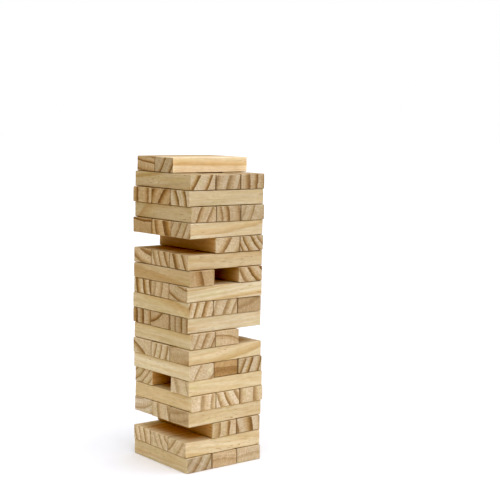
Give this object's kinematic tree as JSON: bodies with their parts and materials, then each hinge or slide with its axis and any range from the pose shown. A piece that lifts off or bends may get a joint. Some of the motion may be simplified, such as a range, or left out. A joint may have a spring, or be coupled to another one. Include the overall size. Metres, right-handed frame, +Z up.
{
  "type": "tumbling tower game",
  "caption": "Square stacking tower of plain wooden blocks, three to a crossed layer, shown part way through play with some blocks pushed out and moved to the top.",
  "frame": {"origin": "middle of the tower's footprint, on the surface it stands on", "axes": "+Z up. Odd layers lie along Y and show their near ends on the -Y face, even layers lie along X and show their near ends on the -X face."},
  "size_m": [0.0805, 0.0788, 0.2504],
  "materials": {
    "pale_pine": "sanded, unvarnished",
    "honey_pine": "sanded, unvarnished",
    "tan_pine": "sanded, unvarnished"
  },
  "bodies": {
    "layer01_left": {"layer01_left": "tan_pine"},
    "layer01_middle": {"layer01_middle": "pale_pine"},
    "layer01_right": {"layer01_right": "honey_pine"},
    "layer02_left": {"layer02_left": "honey_pine"},
    "layer02_middle": {"layer02_middle": "tan_pine"},
    "layer02_right": {"layer02_right": "pale_pine"},
    "layer03_middle": {"layer03_middle": "honey_pine"},
    "layer03_right": {"layer03_right": "tan_pine"},
    "layer04_left": {"layer04_left": "pale_pine"},
    "layer04_middle": {"layer04_middle": "honey_pine"},
    "layer04_right": {"layer04_right": "tan_pine"},
    "layer05_left": {"layer05_left": "tan_pine"},
    "layer05_middle": {"layer05_middle": "pale_pine"},
    "layer05_right": {"layer05_right": "honey_pine"},
    "layer06_left": {"layer06_left": "honey_pine"},
    "layer06_right": {"layer06_right": "pale_pine"},
    "layer07_left": {"layer07_left": "pale_pine"},
    "layer07_middle": {"layer07_middle": "honey_pine"},
    "layer07_right": {"layer07_right": "tan_pine"},
    "layer08_left": {"layer08_left": "pale_pine"},
    "layer08_middle": {"layer08_middle": "honey_pine"},
    "layer08_right": {"layer08_right": "tan_pine"},
    "layer09_left": {"layer09_left": "tan_pine"},
    "layer09_middle": {"layer09_middle": "pale_pine"},
    "layer10_left": {"layer10_left": "honey_pine"},
    "layer10_middle": {"layer10_middle": "tan_pine"},
    "layer10_right": {"layer10_right": "pale_pine"},
    "layer11_left": {"layer11_left": "pale_pine"},
    "layer11_middle": {"layer11_middle": "honey_pine"},
    "layer11_right": {"layer11_right": "tan_pine"},
    "layer12_left": {"layer12_left": "pale_pine"},
    "layer12_middle": {"layer12_middle": "honey_pine"},
    "layer12_right": {"layer12_right": "tan_pine"},
    "layer13_left": {"layer13_left": "tan_pine"},
    "layer13_right": {"layer13_right": "honey_pine"},
    "layer14_left": {"layer14_left": "honey_pine"},
    "layer14_middle": {"layer14_middle": "tan_pine"},
    "layer14_right": {"layer14_right": "pale_pine"},
    "layer15_middle": {"layer15_middle": "honey_pine"},
    "layer15_right": {"layer15_right": "tan_pine"},
    "layer16_left": {"layer16_left": "pale_pine"},
    "layer16_middle": {"layer16_middle": "honey_pine"},
    "layer16_right": {"layer16_right": "tan_pine"},
    "layer17_left": {"layer17_left": "tan_pine"},
    "layer17_middle": {"layer17_middle": "pale_pine"},
    "layer17_right": {"layer17_right": "honey_pine"},
    "layer18_left": {"layer18_left": "honey_pine"},
    "layer18_middle": {"layer18_middle": "tan_pine"},
    "layer18_right": {"layer18_right": "pale_pine"},
    "layer19_left": {"layer19_left": "pale_pine"},
    "layer19_middle": {"layer19_middle": "honey_pine"},
    "layer19_right": {"layer19_right": "tan_pine"},
    "layer20_left": {"layer20_left": "pale_pine"},
    "layer20_middle": {"layer20_middle": "honey_pine"}
  },
  "joints": [
    {"name": "push_layer01_left", "type": "slide", "parent": "layer01_middle", "child": "layer01_left", "axis": [0.0262, 0.9997, 0], "range_m": [-0.08, 0.08]},
    {"name": "push_layer01_right", "type": "slide", "parent": "layer01_middle", "child": "layer01_right", "axis": [0.0262, 0.9997, 0], "range_m": [-0.08, 0.08]},
    {"name": "push_layer02_left", "type": "slide", "parent": "layer01_middle", "child": "layer02_left", "axis": [0.9997, -0.0262, 0], "range_m": [-0.08, 0.08]},
    {"name": "push_layer02_middle", "type": "slide", "parent": "layer01_middle", "child": "layer02_middle", "axis": [0.9997, -0.0262, 0], "range_m": [-0.08, 0.08]},
    {"name": "push_layer02_right", "type": "slide", "parent": "layer01_middle", "child": "layer02_right", "axis": [0.9997, -0.0262, 0], "range_m": [-0.08, 0.08]},
    {"name": "push_layer03_middle", "type": "slide", "parent": "layer01_middle", "child": "layer03_middle", "axis": [0, 1, 0], "range_m": [-0.08, 0.08]},
    {"name": "push_layer03_right", "type": "slide", "parent": "layer01_middle", "child": "layer03_right", "axis": [0, 1, 0], "range_m": [-0.08, 0.08]},
    {"name": "push_layer04_left", "type": "slide", "parent": "layer01_middle", "child": "layer04_left", "axis": [1, 0.0087, 0], "range_m": [-0.08, 0.08]},
    {"name": "push_layer04_middle", "type": "slide", "parent": "layer01_middle", "child": "layer04_middle", "axis": [1, 0.0087, 0], "range_m": [-0.08, 0.08]},
    {"name": "push_layer04_right", "type": "slide", "parent": "layer01_middle", "child": "layer04_right", "axis": [1, 0.0087, 0], "range_m": [-0.08, 0.08]},
    {"name": "push_layer05_left", "type": "slide", "parent": "layer01_middle", "child": "layer05_left", "axis": [-0.0175, 0.9998, 0], "range_m": [-0.08, 0.08]},
    {"name": "push_layer05_middle", "type": "slide", "parent": "layer01_middle", "child": "layer05_middle", "axis": [-0.0175, 0.9998, 0], "range_m": [-0.08, 0.08]},
    {"name": "push_layer05_right", "type": "slide", "parent": "layer01_middle", "child": "layer05_right", "axis": [-0.0175, 0.9998, 0], "range_m": [-0.08, 0.08]},
    {"name": "push_layer06_left", "type": "slide", "parent": "layer01_middle", "child": "layer06_left", "axis": [1, -0.0087, 0], "range_m": [-0.08, 0.08]},
    {"name": "push_layer06_right", "type": "slide", "parent": "layer01_middle", "child": "layer06_right", "axis": [1, -0.0087, 0], "range_m": [-0.08, 0.08]},
    {"name": "push_layer07_left", "type": "slide", "parent": "layer01_middle", "child": "layer07_left", "axis": [-0.0087, 1, 0], "range_m": [-0.08, 0.08]},
    {"name": "push_layer07_middle", "type": "slide", "parent": "layer01_middle", "child": "layer07_middle", "axis": [-0.0087, 1, 0], "range_m": [-0.08, 0.08]},
    {"name": "push_layer07_right", "type": "slide", "parent": "layer01_middle", "child": "layer07_right", "axis": [-0.0087, 1, 0], "range_m": [-0.08, 0.08]},
    {"name": "push_layer08_left", "type": "slide", "parent": "layer01_middle", "child": "layer08_left", "axis": [0.9998, 0.0175, 0], "range_m": [-0.08, 0.08]},
    {"name": "push_layer08_middle", "type": "slide", "parent": "layer01_middle", "child": "layer08_middle", "axis": [0.9998, 0.0175, 0], "range_m": [-0.08, 0.08]},
    {"name": "push_layer08_right", "type": "slide", "parent": "layer01_middle", "child": "layer08_right", "axis": [0.9998, 0.0175, 0], "range_m": [-0.08, 0.08]},
    {"name": "push_layer09_left", "type": "slide", "parent": "layer01_middle", "child": "layer09_left", "axis": [-0.0175, 0.9998, 0], "range_m": [-0.08, 0.08]},
    {"name": "push_layer09_middle", "type": "slide", "parent": "layer01_middle", "child": "layer09_middle", "axis": [-0.0175, 0.9998, 0], "range_m": [-0.08, 0.08]},
    {"name": "push_layer10_left", "type": "slide", "parent": "layer01_middle", "child": "layer10_left", "axis": [1, 0, 0], "range_m": [-0.08, 0.08]},
    {"name": "push_layer10_middle", "type": "slide", "parent": "layer01_middle", "child": "layer10_middle", "axis": [1, 0, 0], "range_m": [-0.08, 0.08]},
    {"name": "push_layer10_right", "type": "slide", "parent": "layer01_middle", "child": "layer10_right", "axis": [1, 0, 0], "range_m": [-0.08, 0.08]},
    {"name": "push_layer11_left", "type": "slide", "parent": "layer01_middle", "child": "layer11_left", "axis": [0, 1, 0], "range_m": [-0.08, 0.08]},
    {"name": "push_layer11_middle", "type": "slide", "parent": "layer01_middle", "child": "layer11_middle", "axis": [0, 1, 0], "range_m": [-0.08, 0.08]},
    {"name": "push_layer11_right", "type": "slide", "parent": "layer01_middle", "child": "layer11_right", "axis": [0, 1, 0], "range_m": [-0.08, 0.08]},
    {"name": "push_layer12_left", "type": "slide", "parent": "layer01_middle", "child": "layer12_left", "axis": [0.9998, -0.0175, 0], "range_m": [-0.08, 0.08]},
    {"name": "push_layer12_middle", "type": "slide", "parent": "layer01_middle", "child": "layer12_middle", "axis": [0.9998, -0.0175, 0], "range_m": [-0.08, 0.08]},
    {"name": "push_layer12_right", "type": "slide", "parent": "layer01_middle", "child": "layer12_right", "axis": [0.9998, -0.0175, 0], "range_m": [-0.08, 0.08]},
    {"name": "push_layer13_left", "type": "slide", "parent": "layer01_middle", "child": "layer13_left", "axis": [-0.0087, 1, 0], "range_m": [-0.08, 0.08]},
    {"name": "push_layer13_right", "type": "slide", "parent": "layer01_middle", "child": "layer13_right", "axis": [-0.0087, 1, 0], "range_m": [-0.08, 0.08]},
    {"name": "push_layer14_left", "type": "slide", "parent": "layer01_middle", "child": "layer14_left", "axis": [1, -0.0087, 0], "range_m": [-0.08, 0.08]},
    {"name": "push_layer14_middle", "type": "slide", "parent": "layer01_middle", "child": "layer14_middle", "axis": [1, -0.0087, 0], "range_m": [-0.08, 0.08]},
    {"name": "push_layer14_right", "type": "slide", "parent": "layer01_middle", "child": "layer14_right", "axis": [1, -0.0087, 0], "range_m": [-0.08, 0.08]},
    {"name": "push_layer15_middle", "type": "slide", "parent": "layer01_middle", "child": "layer15_middle", "axis": [0, 1, 0], "range_m": [-0.08, 0.08]},
    {"name": "push_layer15_right", "type": "slide", "parent": "layer01_middle", "child": "layer15_right", "axis": [0, 1, 0], "range_m": [-0.08, 0.08]},
    {"name": "push_layer16_left", "type": "slide", "parent": "layer01_middle", "child": "layer16_left", "axis": [0.9997, 0.0262, 0], "range_m": [-0.08, 0.08]},
    {"name": "push_layer16_middle", "type": "slide", "parent": "layer01_middle", "child": "layer16_middle", "axis": [0.9997, 0.0262, 0], "range_m": [-0.08, 0.08]},
    {"name": "push_layer16_right", "type": "slide", "parent": "layer01_middle", "child": "layer16_right", "axis": [0.9997, 0.0262, 0], "range_m": [-0.08, 0.08]},
    {"name": "push_layer17_left", "type": "slide", "parent": "layer01_middle", "child": "layer17_left", "axis": [-0.0087, 1, 0], "range_m": [-0.08, 0.08]},
    {"name": "push_layer17_middle", "type": "slide", "parent": "layer01_middle", "child": "layer17_middle", "axis": [-0.0087, 1, 0], "range_m": [-0.08, 0.08]},
    {"name": "push_layer17_right", "type": "slide", "parent": "layer01_middle", "child": "layer17_right", "axis": [-0.0087, 1, 0], "range_m": [-0.08, 0.08]},
    {"name": "push_layer18_left", "type": "slide", "parent": "layer01_middle", "child": "layer18_left", "axis": [1, 0, 0], "range_m": [-0.08, 0.08]},
    {"name": "push_layer18_middle", "type": "slide", "parent": "layer01_middle", "child": "layer18_middle", "axis": [1, 0, 0], "range_m": [-0.08, 0.08]},
    {"name": "push_layer18_right", "type": "slide", "parent": "layer01_middle", "child": "layer18_right", "axis": [1, 0, 0], "range_m": [-0.08, 0.08]},
    {"name": "push_layer19_left", "type": "slide", "parent": "layer01_middle", "child": "layer19_left", "axis": [0.0087, 1, 0], "range_m": [-0.08, 0.08]},
    {"name": "push_layer19_middle", "type": "slide", "parent": "layer01_middle", "child": "layer19_middle", "axis": [0.0087, 1, 0], "range_m": [-0.08, 0.08]},
    {"name": "push_layer19_right", "type": "slide", "parent": "layer01_middle", "child": "layer19_right", "axis": [0.0087, 1, 0], "range_m": [-0.08, 0.08]},
    {"name": "lift_layer20_left", "type": "slide", "parent": "layer01_middle", "child": "layer20_left", "axis": [0, 0, 1], "range_m": [0, 0.1]},
    {"name": "lift_layer20_middle", "type": "slide", "parent": "layer01_middle", "child": "layer20_middle", "axis": [0, 0, 1], "range_m": [0, 0.1]}
  ]
}
